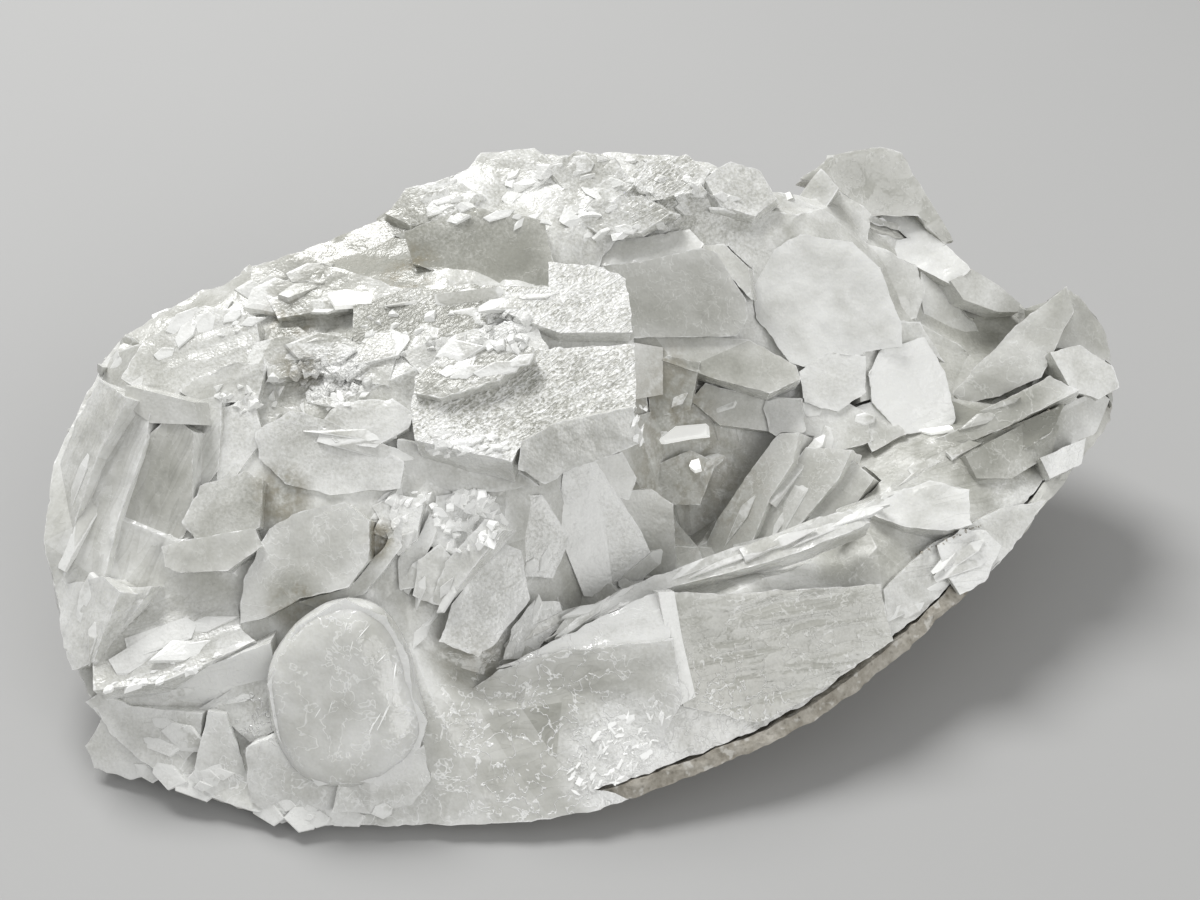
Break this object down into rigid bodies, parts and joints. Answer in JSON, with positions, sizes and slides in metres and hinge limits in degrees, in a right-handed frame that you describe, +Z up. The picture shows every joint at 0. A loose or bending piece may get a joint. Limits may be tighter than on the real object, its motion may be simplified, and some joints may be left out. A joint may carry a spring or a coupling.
{
  "type": "calcite specimen",
  "caption": "Broken piece of a calcite-lined rock pocket: a thin brown rind filled with white bladed and tabular crystals, open in a hollow at one end.",
  "frame": {"origin": "middle of the specimen's box in plan, on the surface that it rests on", "axes": "+X along the length towards the low open end, +Z up, and -Y towards the low front edge"},
  "size_m": [0.1496, 0.0966, 0.0549],
  "materials": {
    "host_rock": "rough",
    "white_calcite": "vitreous",
    "grey_calcite": "vitreous"
  },
  "bodies": {
    "root": {"host_rock_rind": "host_rock", "calcite_mass": "white_calcite", "hollow_crystal_crust": "grey_calcite"}
  },
  "joints": []
}
